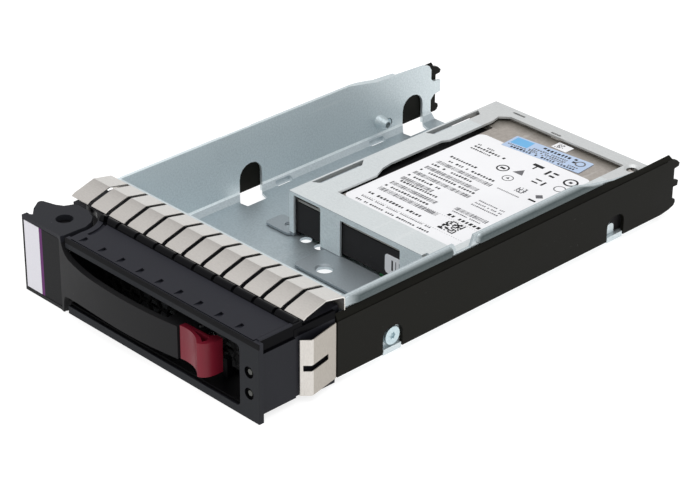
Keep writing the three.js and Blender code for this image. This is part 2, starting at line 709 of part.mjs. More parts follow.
function makeBase() {
  const { left, right, front, rear, bottom, baseTop } = drive;
  const sleeve = turned([[1.9, 3], [3.1, 3], [3.1, 6], [1.9, 6]], spindle.x, spindle.y, 2 * arcSteps);
  const shaftWell = rodZ(spindle.x, spindle.y, 1.9, 3.1, 14);
  const body = cut(
    prismZ(roundedRect(left, right, front, rear, 2), bottom, baseTop),
    chamber(0, 4.4, 14),
    block(left + 1.8, right - 1.8, front - 1, rear + 1, 0, 2.3),
    block(-6.4, 37, 175, rear + 1, 0, 7.3),
    ...coverScrewSpots.map(([x, y]) => rodZ(x, y, 1.1, 9, 14, 4)),
    ...driveScrewY.map((y) => rodX(y, driveScrewZ, screwR + gap, left - 1, left + 1.8)),
  );
  return cut(join(body, sleeve), shaftWell);
}
add("drive_base", makeBase(), castBlack);

const coverBottom = 13.2;
const coverLow = coverBottom + 0.8; // top of the lowered strip along the cover's left side
const coverStep = { x: -8.2, y: 163.5 };
const coverRear = 177.9; // the casting runs on bare behind the cover, over the connector
function makeCover() {
  const { left, right, front, top } = drive;
  return cut(
    prismZ(roundedRect(left + 0.2, right - 0.2, front + 0.1, coverRear, 2), coverBottom, top),
    block(left - 1, coverStep.x, front - 1, coverStep.y, coverLow, top + 1),
    block(38.4, 43.6, front - 1, front + 2.6, coverLow, top + 1),
    chamber(0, coverBottom - 1, top - 0.8).intersect(block(coverStep.x + 1, 60, 80, 190, 0, 20)),
    ...coverScrewSpots.map(([x, y]) => rodZ(x, y, 1.1, 13, 17, 4)),
    ...coverScrewSpots.map(([x, y]) => rodZ(x, y, 2.5, coverLow, 17, 6)),
  );
}
add("drive_cover", makeCover(), coverMetal);
add("cover_gasket", cut(chamber(1.2, 12.95, 13.15), chamber(0.4, 12.9, 13.2)), blackRubber);
const tapeShape = roundedRect(drive.left + 0.4, coverStep.x - 0.3, 91, coverStep.y - 0.8, 0.8);
add("seal_tape", prismZ(tapeShape, coverLow + 0.05, coverLow + 0.2, 3), blackPlastic);

coverScrewSpots.forEach(([x, y], i) => {
  const head = rodZ(x, y, 1.9, coverLow + 0.1, coverLow + 0.8, 6);
  const body = join(head, rodZ(x, y, 0.8, 10, coverLow + 0.2, 3));
  const socket = prismZ(star(x, y, 0.95, 0.6, 6), coverLow + 0.4, coverLow + 1);
  add(`cover_screw_${i + 1}`, cut(body, socket), nickel);
});

const labelZ = [drive.top + 0.05, drive.top + 0.2];
// The blue label is stuck on slightly turned, across the rear edge of the white one, which is cut round it.
const asset = { x: 2.6, y: 155.8, width: 31.8, depth: 8.8, turnDeg: 5 };
function assetPrism(margin, z0, z1) {
  const shape = roundedRect(-margin, asset.width + margin, -margin, asset.depth + margin, 0.4);
  return prismZ(shape, z0, z1, 2).rotate([0, 0, asset.turnDeg]).translate([asset.x, asset.y, 0]);
}
const whiteLabel = prismZ(roundedRect(-7.8, 41.4, 92.2, 157.4, 2.5), ...labelZ, 3);
add("drive_label", cut(whiteLabel, assetPrism(0.1, labelZ[0] - 1, labelZ[1] + 1)), paper);
add("asset_label", assetPrism(0, ...labelZ), blueFilm);
add("small_tag", prismZ(roundedRect(14.9, 21.3, 166.9, 171.2, 0.3), ...labelZ, 2), paper);
const tagShape = roundedRect(22.4, 31.4, 3.7, 10.4, 1.2);
add("front_tag", prismY(tagShape, drive.front - 0.2, drive.front - 0.05, 3), paper);

function makeBoard() {
  const sheet = block(-17.2, 48.4, drive.front + 3, 179.4, 1, 2);
  const tab = block(19.9, 25, drive.front + 0.1, drive.front + 4, 1, 2.2);
  const edgeCuts = [block(-18, -12, 140, 150, 0, 3), block(43, 49, 140, 150, 0, 3)];
  return cut(join(sheet, tab), ...edgeCuts, rodZ(spindle.x, spindle.y, 6, 0, 3));
}
add("circuit_board", makeBoard(), boardGreen);

function makeConnector() {
  const body = block(-6, 36.6, 175.4, 177.4, 2.1, 7);
  const blade = block(-3.6, 34.2, 177, 182.4, 4, 5.2);
  const guides = [block(-6, -4.4, 177, 182.4, 2.1, 6.6), block(35, 36.6, 177, 182.4, 2.1, 6.6)];
  return cut(join(body, blade, ...guides), block(11.6, 12.8, 177.6, 183, 3.9, 5.3));
}
add("sas_connector", makeConnector(), blackPlastic);

// ---------------------------------------------------------------- hard disk drive: disks and motor
const hubR = disk.boreR - gap;
const flangeR = 12;
add(
  "spindle_hub",
  turned(
    [
      [0, 3.4],
      [1.6, 3.4],
      [1.6, 9.6],
      [8.9, 9.6],
      [8.9, 6.5],
      [flangeR, 6.5],
      [flangeR, disk.lowerZ - 0.1],
      [hubR, disk.lowerZ - 0.1],
      [hubR, 11],
      [1.6, 11],
      [1.6, 10],
      [0, 10],
    ],
    spindle.x,
    spindle.y,
    24,
  ),
  machined,
);
function makePlatter(z) {
  const ring = [[disk.boreR, z], [disk.r, z], [disk.r, z + disk.sheet], [disk.boreR, z + disk.sheet]];
  return turned(ring, spindle.x, spindle.y, 48);
}
add("platter_lower", makePlatter(disk.lowerZ), mirrorDisk);
add("platter_upper", makePlatter(disk.upperZ), mirrorDisk);
const spacerZ = [disk.lowerZ + disk.sheet + 0.1, disk.upperZ - 0.1];
add(
  "platter_spacer",
  turned(
    [[disk.boreR, spacerZ[0]], [flangeR, spacerZ[0]], [flangeR, spacerZ[1]], [disk.boreR, spacerZ[1]]],
    spindle.x,
    spindle.y,
    24,
  ),
  machined,
);
add(
  "disk_clamp",
  turned([[1.4, 11.2], [flangeR, 11.2], [flangeR, 11.7], [8, 12.2], [1.4, 12.2]], spindle.x, spindle.y, 24),
  nickel,
);
function makeClampScrew() {
  const head = rodZ(spindle.x, spindle.y, 3, 12.3, 13);
  const shank = rodZ(spindle.x, spindle.y, 1.1, 10.3, 12.4, 4);
  return cut(join(head, shank), prismZ(star(spindle.x, spindle.y, 1.5, 1, 6), 12.6, 14));
}
add("clamp_screw", makeClampScrew(), nickel);

function makeStator() {
  const poles = 9;
  const ring = turned([[3.6, 4.8], [5, 4.8], [5, 8.8], [3.6, 8.8]], spindle.x, spindle.y, 18);
  const teeth = [];
  for (let i = 0; i < poles; i++) {
    const t = (2 * Math.PI * i) / poles;
    teeth.push(prismZ(fan(spindle.x, spindle.y, 4.5, 8.4, t - 0.16, t + 0.16), 5.4, 8.2, 2));
  }
  return join(ring, ...teeth);
}
add("motor_stator", makeStator(), copper);

// ---------------------------------------------------------------- hard disk drive: actuator
const armLevels = [[5.9, 6.7], [8.8, 9.6], [11.7, 12.5]];
const away = new THREE.Vector2(Math.cos(parkedAngle), Math.sin(parkedAngle));
const side = new THREE.Vector2(-away.y, away.x);
const along = (reach, across) => [
  pivot.x + away.x * reach + side.x * across,
  pivot.y + away.y * reach + side.y * across,
];

function makeActuatorArm() {
  const blade = outline([along(0, 4.6), along(24, 1.8), along(24, -1.8), along(0, -4.6)]);
  const arms = armLevels.map(([z0, z1]) => prismZ(blade, z0, z1));
  const barrel = rodZ(pivot.x, pivot.y, 5.1, 5.6, 12.7, 8);
  const coilAngle = parkedAngle + Math.PI;
  const prongs = [coilAngle - 0.42, coilAngle + 0.42].map((t) =>
    prismZ(fan(pivot.x, pivot.y, 4.4, 13, t - 0.07, t + 0.07), 8.1, 9.7, 1),
  );
  return cut(join(barrel, ...arms, ...prongs), rodZ(pivot.x, pivot.y, pivot.r + gap, 5, 13));
}
add("actuator_arm", makeActuatorArm(), machined);

function makeCoil() {
  const t = parkedAngle + Math.PI;
  const outer = prismZ(fan(pivot.x, pivot.y, 7, 17, t - 0.32, t + 0.32), 8.1, 9.7, 3);
  return cut(outer, prismZ(fan(pivot.x, pivot.y, 9.4, 14.6, t - 0.14, t + 0.14), 8, 9.8, 2));
}
add("voice_coil", makeCoil(), copper);

// Each suspension lies against its arm and carries a head slider that faces a disk surface.
function makeSuspension(plateZ, sliderZ) {
  const plate = outline([
    along(19, 1.5),
    along(24, 1.5),
    along(armReach + 1.4, 0.4),
    along(armReach + 1.4, -0.4),
    along(24, -1.5),
    along(19, -1.5),
  ]);
  const slider = outline([
    along(armReach - 0.7, 0.6),
    along(armReach + 0.7, 0.6),
    along(armReach + 0.7, -0.6),
    along(armReach - 0.7, -0.6),
  ]);
  return join(prismZ(plate, ...plateZ), prismZ(slider, ...sliderZ));
}
const heads = [
  [[6.75, 6.95], [6.9, 7.25]],
  [[8.55, 8.75], [8.35, 8.6]],
  [[9.65, 9.85], [9.8, 10.05]],
  [[11.45, 11.65], [11.15, 11.5]],
];
heads.forEach((levels, i) => add(`head_suspension_${i + 1}`, makeSuspension(...levels), nickel));

const yokeFan = () => fan(pivot.x, pivot.y, 8.3, 18, -0.12, 1.42);
function makeLowerYoke() {
  const posts = [-0.3, 1.6].map((t) =>
    rodZ(pivot.x + 16 * Math.cos(t), pivot.y + 16 * Math.sin(t), 1.4, 4.7, 10.6, 5),
  );
  const plate = prismZ(fan(pivot.x, pivot.y, 8.3, 18, -0.36, 1.66), 4.7, 5.6, 4);
  return join(plate, prismZ(yokeFan(), 5.5, 7, 4), ...posts);
}
add("magnet_yoke_lower", makeLowerYoke(), nickel);
add("magnet_yoke_upper", prismZ(fan(pivot.x, pivot.y, 8.3, 18, -0.36, 1.66), 10.9, 12.6, 4), nickel);
add("actuator_pivot", rodZ(pivot.x, pivot.y, pivot.r, 4.7, 12.8), nickel);

const ramp = along(armReach + 4.2, 0);
const rampBlock = outline([
  [ramp[0] - 2, ramp[1] - 1.8],
  [ramp[0] + 1.6, ramp[1] - 1.8],
  [ramp[0] + 1.6, ramp[1] + 1.8],
  [ramp[0] - 2, ramp[1] + 1.8],
]);
add("head_ramp", prismZ(rampBlock, 4.7, 12.6), paper);

const flexLine = [[9, 169], [9.6, 163], [12.5, 160.2], [16.2, 160]];
const flexBack = flexLine.map(([x, y]) => [x + 0.1, y + 0.3]).reverse();
add("flex_cable", prismZ(outline([...flexLine, ...flexBack]), 5.4, 11.6), amberFilm);
add("air_filter", prismZ(roundedRect(-14.8, -8.6, 161, 169, 1), 4.7, 10.4, 3), whiteFelt);

// ---------------------------------------------------------------- origin
assembly.position.set(0, -(screwY[0] + screwY[1]) / 2, -tray.bottom);

export default assembly;
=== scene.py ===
"""Looks of a hard disk drive in a hot-plug carrier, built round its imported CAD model. Metres, +Z up."""
import math
import random

import bmesh
import bpy
from mathutils import Matrix, Vector


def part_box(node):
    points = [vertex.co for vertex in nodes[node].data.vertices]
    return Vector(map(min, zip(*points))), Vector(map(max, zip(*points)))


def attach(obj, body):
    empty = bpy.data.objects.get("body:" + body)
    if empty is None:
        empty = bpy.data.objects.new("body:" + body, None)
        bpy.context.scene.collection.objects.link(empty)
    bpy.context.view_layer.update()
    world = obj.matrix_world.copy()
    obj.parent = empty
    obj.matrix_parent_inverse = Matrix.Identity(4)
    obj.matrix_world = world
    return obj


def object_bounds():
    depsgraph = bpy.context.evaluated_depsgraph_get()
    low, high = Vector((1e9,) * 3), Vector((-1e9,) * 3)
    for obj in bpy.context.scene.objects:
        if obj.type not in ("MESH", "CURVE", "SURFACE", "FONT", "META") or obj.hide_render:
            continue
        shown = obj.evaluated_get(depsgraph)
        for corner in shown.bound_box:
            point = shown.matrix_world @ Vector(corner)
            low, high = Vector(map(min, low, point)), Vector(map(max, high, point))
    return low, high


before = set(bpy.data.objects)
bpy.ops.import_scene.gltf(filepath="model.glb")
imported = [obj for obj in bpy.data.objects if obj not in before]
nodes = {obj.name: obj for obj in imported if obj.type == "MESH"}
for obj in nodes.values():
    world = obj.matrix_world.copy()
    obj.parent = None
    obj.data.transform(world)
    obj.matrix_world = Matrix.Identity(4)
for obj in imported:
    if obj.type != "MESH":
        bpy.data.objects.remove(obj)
cad_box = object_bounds()
MM = 0.001


def rgb(r, g, b):
    return (r, g, b, 1.0)


def grey(level):
    return rgb(level, level, level)


# ---------------------------------------------------------------- places that have their own tone, and places with painted light and shade
# A box names its low and high limit on an axis, in millimetres from the frame's origin. None is no limit.
TRAY_FLOOR = {"x": (-50.0, 50.0), "z": (None, 2.6)}
TRAY_LEFT_WALL = {"x": (None, -50.0), "z": (2.6, None)}
TRAY_RIGHT_BEAD = {"x": (50.0, None), "z": (20.0, None)}
BRACKET_FOOT = {"z": (None, 2.4)}
BRACKET_REAR_BAR = {"y": (55.0, None), "z": (15.0, None)}
BRACKET_FRONT_WALL = {"y": (None, -23.9), "z": (2.4, 17.0)}
CLIP_REAR_HALF = {"x": (53.0, None), "y": (-85.2, None), "z": (None, 19.5)}
FINGER_FRONT_SLOPES = {"y": (None, -77.8), "z": (24.0, None)}
FINGER_REAR_SLOPES = {"y": (-77.8, None), "z": (24.0, None)}
COVER_BAND = {"y": (61.5, 67.0)}
COVER_BAND_LEFT_END = {"x": (None, -5.0), "y": (58.4, 67.0)}
COVER_REAR_EDGE = {"y": (67.0, None)}
LEVER_TOP = {"z": (22.9, None)}
LEVER_FRONT = {"z": (None, 22.9)}
LATCH_HOOK = {"x": (27.0, None), "y": (-100.9, None)}
BEZEL_ROOF = {"y": (-104.6, None), "z": (22.9, None)}
BEZEL_FRONT_FACE = {"y": (None, -104.8)}
BEZEL_BAR_BAND = {"y": (-90.6, -86.9), "z": (23.2, None)}
BEZEL_RIGHT_STEP = {"x": (51.3, None), "y": (-103.2, None), "z": (20.5, 24.6)}
BEZEL_BEHIND_FRONT = {"x": (-33.1, 46.3), "y": (-104.6, None), "z": (None, 22.7)}
BEZEL_FRONT_RIM = {"y": (None, -104.7), "z": (23.2, None)}
BEZEL_PIPE_RECESS = {"x": (47.6, 52.0), "y": (-105.0, None), "z": (None, 16.4)}
# The lever's label changes from white to the stripe and from the stripe to the dark panel at these places.
LABEL_STRIPE = {"x": (-45.8, None)}
LABEL_DARK_PANEL = {"x": (-44.4, None)}

# A ramp is an axis, the place where a tone starts to come in, and the place where it is full, in millimetres.
TOWARDS_BEZEL = ("y", 20.0, -60.0)
BEAD_INNER_SIDE = ("x", 51.6, 50.6)
BEAD_OUTER_SIDE = ("x", 51.3, 52.9)
ACROSS_COVER_BAND = ("y", 61.5, 66.4)
TOWARDS_BAND_LEFT = ("x", -5.0, -9.0)
VENT_TOWARDS_LATCH = ("x", 18.0, 36.0)

# A shade paints light or shade into a colour: a box, the tone that the colour in it is multiplied by, and
# where needed a ramp.
# Painted shade on the tray floor, painted light on the left wall growing towards the bezel, and a painted
# highlight down the right bead's middle with painted shade on both its sides.
ZINC_PAINTED_SHADING = (
    (TRAY_FLOOR, rgb(0.71, 0.73, 0.75)),
    (TRAY_LEFT_WALL, grey(1.24), TOWARDS_BEZEL),
    (TRAY_RIGHT_BEAD, rgb(0.72, 0.74, 0.75), BEAD_INNER_SIDE),
    (TRAY_RIGHT_BEAD, rgb(0.13, 0.15, 0.15), BEAD_OUTER_SIDE),
)
# Painted shade on the bracket's foot and rear bar, painted light on its front wall.
BRACKET_PAINTED_SHADING = (
    (BRACKET_FOOT, rgb(0.50, 0.53, 0.56)),
    (BRACKET_REAR_BAR, rgb(0.93, 0.90, 0.89)),
    (BRACKET_FRONT_WALL, rgb(1.25, 1.27, 1.27)),
)
# Painted shade on the clip's rear half and on the fingers' front slopes, painted light on the fingers' rear
# slopes.
SPRING_PAINTED_SHADING = (
    (CLIP_REAR_HALF, rgb(0.66, 0.64, 0.61)),
    (FINGER_FRONT_SLOPES, rgb(0.90, 0.90, 0.91)),
    (FINGER_REAR_SLOPES, rgb(1.16, 1.19, 1.22)),
)
# A painted shadow band across the cover, darkest towards the rear and stronger at its left end, and a painted
# highlight along the rear edge.
COVER_PAINTED_SHADING = (
    (COVER_BAND, rgb(0.36, 0.35, 0.32), ACROSS_COVER_BAND),
    (COVER_REAR_EDGE, rgb(1.30, 1.32, 1.34)),
    (COVER_BAND_LEFT_END, rgb(0.60, 0.60, 0.58), TOWARDS_BAND_LEFT),
)
# Painted light on the lever's top and painted shade on everything below it, the front included, also on the
# pin.
LEVER_PAINTED_SHADING = (
    (LEVER_TOP, rgb(1.24, 1.27, 1.40)),
    (LEVER_FRONT, rgb(0.84, 0.81, 0.77)),
)
# Painted shadow: the latch's hook, deep behind the bezel, is darkened almost to black.
LATCH_PAINTED_SHADE = (
    (LATCH_HOOK, rgb(0.05, 0.1, 0.1)),
)
# Painted light on the bezel's roof, painted shade on its front face.
BEZEL_PAINTED_SHADING = (
    (BEZEL_ROOF, rgb(1.22, 1.20, 1.26)),
    (BEZEL_FRONT_FACE, rgb(0.82, 0.88, 0.84)),
)
# Each black zone of the bezel has its box, its tone, its roughness and its specular level. The bars and the
# step are glossy black; the front rim, the inside behind the front and the recess by the light pipes are
# painted shade, near black.
BEZEL_BLACK_AND_PAINTED_SHADE_ZONES = (
    (BEZEL_BAR_BAND, 0.004, 0.16, 0.07),
    (BEZEL_RIGHT_STEP, 0.003, 0.16, 0.03),
    (BEZEL_BEHIND_FRONT, 0.002, 0.5, 0.1),
    (BEZEL_FRONT_RIM, 0.003, 0.4, 0.05),
    (BEZEL_PIPE_RECESS, 0.002, 0.4, 0.03),
)
BLUE_CAST = 1.3


# ---------------------------------------------------------------- material helpers
# The mix node has sockets for numbers, vectors and colours. These are the places of its colour ones.
COLOR_A = 6
COLOR_B = 7
COLOR_RESULT = 2


class Graph:
    """A small builder for one node material."""

    def __init__(self, name):
        self.material = bpy.data.materials.new(name)
        self.material.use_nodes = True
        self.tree = self.material.node_tree
        self.tree.nodes.clear()
        output = self.tree.nodes.new("ShaderNodeOutputMaterial")
        self.bsdf = self.tree.nodes.new("ShaderNodeBsdfPrincipled")
        self.link(self.bsdf.outputs[0], output.inputs[0])
        coords = self.tree.nodes.new("ShaderNodeTexCoord")
        self.place = coords.outputs["Object"]
        self.axes = None

    def link(self, a, b):
        self.tree.links.new(a, b)

    def feed(self, socket, value):
        """Gives a socket either another node's output or a plain value."""
        if hasattr(value, "is_output"):
            self.link(value, socket)
        else:
            socket.default_value = value

    def scaled(self, scale):
        mapping = self.tree.nodes.new("ShaderNodeMapping")
        self.link(self.place, mapping.inputs[0])
        mapping.inputs["Scale"].default_value = scale
        return mapping.outputs[0]

    def noise(self, scale, detail, rough, stretch=(1, 1, 1)):
        node = self.tree.nodes.new("ShaderNodeTexNoise")
        self.link(self.scaled(stretch), node.inputs["Vector"])
        node.inputs["Scale"].default_value = scale
        node.inputs["Detail"].default_value = detail
        node.inputs["Roughness"].default_value = rough
        return node.outputs[0]

    def along(self, axis):
        """Distance along one axis, in metres."""
        if self.axes is None:
            split = self.tree.nodes.new("ShaderNodeSeparateXYZ")
            self.link(self.place, split.inputs[0])
            self.axes = dict(zip("xyz", split.outputs))
        return self.axes[axis]

    def product(self, a, b):
        node = self.tree.nodes.new("ShaderNodeMath")
        node.operation = "MULTIPLY"
        self.link(a, node.inputs[0])
        self.link(b, node.inputs[1])
        return node.outputs[0]

    def compare(self, axis, operation, edge):
        """1 where the distance along an axis passes a test against an edge in millimetres, else 0."""
        node = self.tree.nodes.new("ShaderNodeMath")
        node.operation = operation
        self.link(self.along(axis), node.inputs[0])
        node.inputs[1].default_value = edge * MM
        return node.outputs[0]

    def inside(self, box):
        """1 inside a box and 0 outside."""
        tests = []
        for axis, (low, high) in box.items():
            if low is not None:
                tests.append(self.compare(axis, "GREATER_THAN", low))
            if high is not None:
                tests.append(self.compare(axis, "LESS_THAN", high))
        result = tests[0]
        for test in tests[1:]:
            result = self.product(result, test)
        return result

    def remap(self, value, low, high, to_low, to_high):
        """Maps low...high onto to_low...to_high and clamps what lies outside."""
        node = self.tree.nodes.new("ShaderNodeMapRange")
        self.link(value, node.inputs["Value"])
        node.inputs["From Min"].default_value = low
        node.inputs["From Max"].default_value = high
        node.inputs["To Min"].default_value = to_low
        node.inputs["To Max"].default_value = to_high
        return node.outputs[0]

    def share(self, value, low, high, most=1.0):
        """How much of a second colour shows: none at the low value, the most at the high value."""
        return self.remap(value, low, high, 0.0, most)

    def ramp(self, axis, start, end):
        """0 at the start and 1 at the end, along one axis, in millimetres."""
        return self.share(self.along(axis), start * MM, end * MM)

    def mix(self, factor, a, b, blend="MIX"):
        node = self.tree.nodes.new("ShaderNodeMix")
        node.data_type = "RGBA"
        node.blend_type = blend
        self.feed(node.inputs[0], factor)
        self.feed(node.inputs[COLOR_A], a)
        self.feed(node.inputs[COLOR_B], b)
        return node.outputs[COLOR_RESULT]

    def shaded(self, tint, painted_shading):
        """Paints light and shade: multiplies the colour by each shade's tone inside its box, over its ramp
        where it has one.
        """
        for box, tone, *ramps in painted_shading:
            mask = self.inside(box)
            for axis, start, end in ramps:
                mask = self.product(mask, self.ramp(axis, start, end))
            tint = self.mix(mask, tint, self.mix(1.0, tint, tone, "MULTIPLY"))
        return tint

    def bump(self, height, strength, distance):
        node = self.tree.nodes.new("ShaderNodeBump")
        node.inputs["Strength"].default_value = strength
        node.inputs["Distance"].default_value = distance
        self.link(height, node.inputs["Height"])
        return node.outputs[0]

    def set(self, **inputs):
        names = {
            "color": "Base Color",
            "metallic": "Metallic",
            "rough": "Roughness",
            "spec": "Specular IOR Level",
            "normal": "Normal",
        }
        for key, value in inputs.items():
            self.feed(self.bsdf.inputs[names[key]], value)
        return self.material


# How deep the bumps of each kind of surface are.
SHEET_WAVE_DEPTH = 0.4 * MM
MOULD_SPARK_DEPTH = 0.08 * MM
PAPER_FIBRE_DEPTH = 0.05 * MM
# How fine each pattern is: a larger number is a finer pattern.
SHEET_CLOUD = 60.0
SHEET_SCRATCH = 420.0
SHEET_WAVE = 220.0
SHEET_SPECKLE = 1600.0
MOULD_CLOUD = 45.0
MOULD_RUB = 700.0
MOULD_SPARK = 2600.0
VENT_CLOUD = 300.0
FILM_FIBRE = 2500.0
# Scratches run along the sheet's length, so their pattern is this much coarser that way.
SCRATCH_STRETCH = (1.0, 0.06, 1.0)


def steel(name, color, dark, rough, grain=SHEET_SPECKLE, stretch=(1, 1, 1), metallic=0.92, painted_shading=()):
    """Plated sheet: fine speckle over soft clouding, with faint handling scratches in the tone."""
    g = Graph(name)
    speckle = g.noise(grain, detail=3.0, rough=0.6, stretch=stretch)
    cloud = g.noise(SHEET_CLOUD, detail=4.0, rough=0.55)
    scratch = g.noise(SHEET_SCRATCH, detail=2.0, rough=0.4, stretch=SCRATCH_STRETCH)
    wave = g.noise(SHEET_WAVE, detail=3.0, rough=0.6)
    tint = g.mix(g.share(speckle, 0.38, 0.62), dark, color)
    tint = g.mix(g.share(cloud, 0.35, 0.65, 0.4), tint, color)
    tint = g.mix(g.share(scratch, 0.66, 0.74, 0.12), tint, grey(1.0))
    return g.set(
        color=g.shaded(tint, painted_shading),
        metallic=metallic,
        rough=g.remap(speckle, 0.3, 0.7, rough + 0.06, rough - 0.04),
        normal=g.bump(wave, 0.06, SHEET_WAVE_DEPTH),
    )


def rubbed_tint(g, cloud, dark, color, rub_share):
    """Slow change between two tones, with faint pale rubbed specks."""
    rub = g.noise(MOULD_RUB, detail=4.0, rough=0.7)
    tint = g.mix(g.share(cloud, 0.35, 0.65), dark, color)
    return g.mix(g.share(rub, 0.68, 0.78, rub_share), tint, grey(0.5))


def moulded(name, color, dark, rough, grain=MOULD_SPARK, strength=0.1, spec=0.12, painted_shading=()):
    """Moulded plastic: fine spark texture, slow change of tone and sheen, faint rubbed specks."""
    g = Graph(name)
    spark = g.noise(grain, detail=2.0, rough=0.5)
    cloud = g.noise(MOULD_CLOUD, detail=4.0, rough=0.6)
    tint = rubbed_tint(g, cloud, dark, color, 0.1)
    return g.set(
        color=g.shaded(tint, painted_shading),
        rough=g.remap(cloud, 0.3, 0.7, rough - 0.05, rough + 0.06),
        spec=spec,
        normal=g.bump(spark, strength, MOULD_SPARK_DEPTH),
    )


def bezel_plastic():
    """Charcoal moulding with glossy black bars and step, painted light on its roof, and painted shade on its
    front face and, near black, on its front edge, recesses and inside.
    """
    g = Graph("bezel_plastic")
    spark = g.noise(MOULD_SPARK, detail=2.0, rough=0.5)
    cloud = g.noise(MOULD_CLOUD, detail=4.0, rough=0.6)
    tint = rubbed_tint(g, cloud, rgb(0.0130, 0.0137, 0.0180), rgb(0.0165, 0.0172, 0.0220), 0.08)
    tint = g.shaded(tint, BEZEL_PAINTED_SHADING)
    rough = g.remap(cloud, 0.3, 0.7, 0.46, 0.56)
    spec = grey(0.12)
    for box, tone, zone_rough, zone_spec in BEZEL_BLACK_AND_PAINTED_SHADE_ZONES:
        mask = g.inside(box)
        tint = g.mix(mask, tint, rgb(tone, tone, tone * BLUE_CAST))
        rough = g.mix(mask, rough, grey(zone_rough))
        spec = g.mix(mask, spec, grey(zone_spec))
    return g.set(color=tint, rough=rough, spec=spec, normal=g.bump(spark, 0.1, MOULD_SPARK_DEPTH))


def vent_plastic():
    """Black honeycomb, paler beside the latch where light reaches it through the opening."""
    g = Graph("honeycomb_plastic")
    spark = g.noise(MOULD_SPARK, detail=2.0, rough=0.5)
    cloud = g.share(g.noise(VENT_CLOUD, detail=3.0, rough=0.6), 0.35, 0.65)
    deep = g.mix(cloud, grey(0.0015), grey(0.003))
    lit = g.mix(cloud, rgb(0.080, 0.082, 0.085), rgb(0.110, 0.112, 0.115))
    tint = g.mix(g.ramp(*VENT_TOWARDS_LATCH), deep, lit)
    return g.set(color=tint, rough=0.5, spec=0.05, normal=g.bump(spark, 0.1, MOULD_SPARK_DEPTH))


def lever_label_print():
    """White writing panel, a purple stripe and a dark panel, split by the distance across the lever."""
    g = Graph("lever_label_print")
    fibre = g.noise(FILM_FIBRE, detail=2.0, rough=0.5)
    fleck = g.share(fibre, 0.3, 0.7)
    white = g.mix(fleck, rgb(0.70, 0.69, 0.74), rgb(0.73, 0.72, 0.77))
    purple = rgb(0.13, 0.035, 0.14)
    dark = g.mix(fleck, rgb(0.014, 0.014, 0.015), rgb(0.018, 0.018, 0.019))
    tint = g.mix(g.inside(LABEL_STRIPE), white, purple)
    tint = g.mix(g.inside(LABEL_DARK_PANEL), tint, dark)
    return g.set(color=tint, rough=0.55, spec=0.08, normal=g.bump(fibre, 0.03, PAPER_FIBRE_DEPTH))


# How many times finer the speckle is along each axis.
BRACKET_STRETCH = (1, 4, 1)
SPRING_STRETCH = (1, 5, 1)
WINDING_STRETCH = (1, 1, 8)
# Each finish has the material's name, its light tone, its dark tone, its roughness and its other settings.
STEELS = {
    "zinc": ("zinc_plated_steel", rgb(0.69, 0.76, 0.785), rgb(0.58, 0.65, 0.675), 0.42,
             {"metallic": 0.68, "painted_shading": ZINC_PAINTED_SHADING}),
    "pale": ("bracket_steel", rgb(0.74, 0.78, 0.79), rgb(0.65, 0.69, 0.70), 0.46,
             {"grain": 1300.0, "stretch": BRACKET_STRETCH, "metallic": 0.6, "painted_shading": BRACKET_PAINTED_SHADING}),
    "spring": ("shield_spring_steel", rgb(0.69, 0.66, 0.62), rgb(0.63, 0.60, 0.565), 0.42,
               {"grain": 900.0, "stretch": SPRING_STRETCH, "painted_shading": SPRING_PAINTED_SHADING}),
    "screw": ("plated_screws", rgb(0.60, 0.72, 0.76), rgb(0.48, 0.59, 0.63), 0.36, {"grain": 1800.0}),
    "nickel": ("nickel_steel", rgb(0.66, 0.66, 0.65), rgb(0.55, 0.55, 0.54), 0.3, {"grain": 1500.0}),
    "cover": ("cover_steel", rgb(0.50, 0.46, 0.42), rgb(0.42, 0.38, 0.35), 0.4,
              {"grain": 900.0, "painted_shading": COVER_PAINTED_SHADING}),
    "machined": ("machined_aluminium", rgb(0.78, 0.79, 0.8), rgb(0.7, 0.71, 0.72), 0.25, {"grain": 1200.0}),
    "disk": ("disk_mirror", rgb(0.85, 0.86, 0.88), rgb(0.83, 0.84, 0.86), 0.07,
             {"grain": 200.0, "metallic": 1.0}),
    "copper": ("copper_winding", rgb(0.72, 0.35, 0.16), rgb(0.5, 0.2, 0.08), 0.35,
               {"grain": 2500.0, "stretch": WINDING_STRETCH}),
}
SMOOTH_FILM = {"grain": FILM_FIBRE, "strength": 0.03}
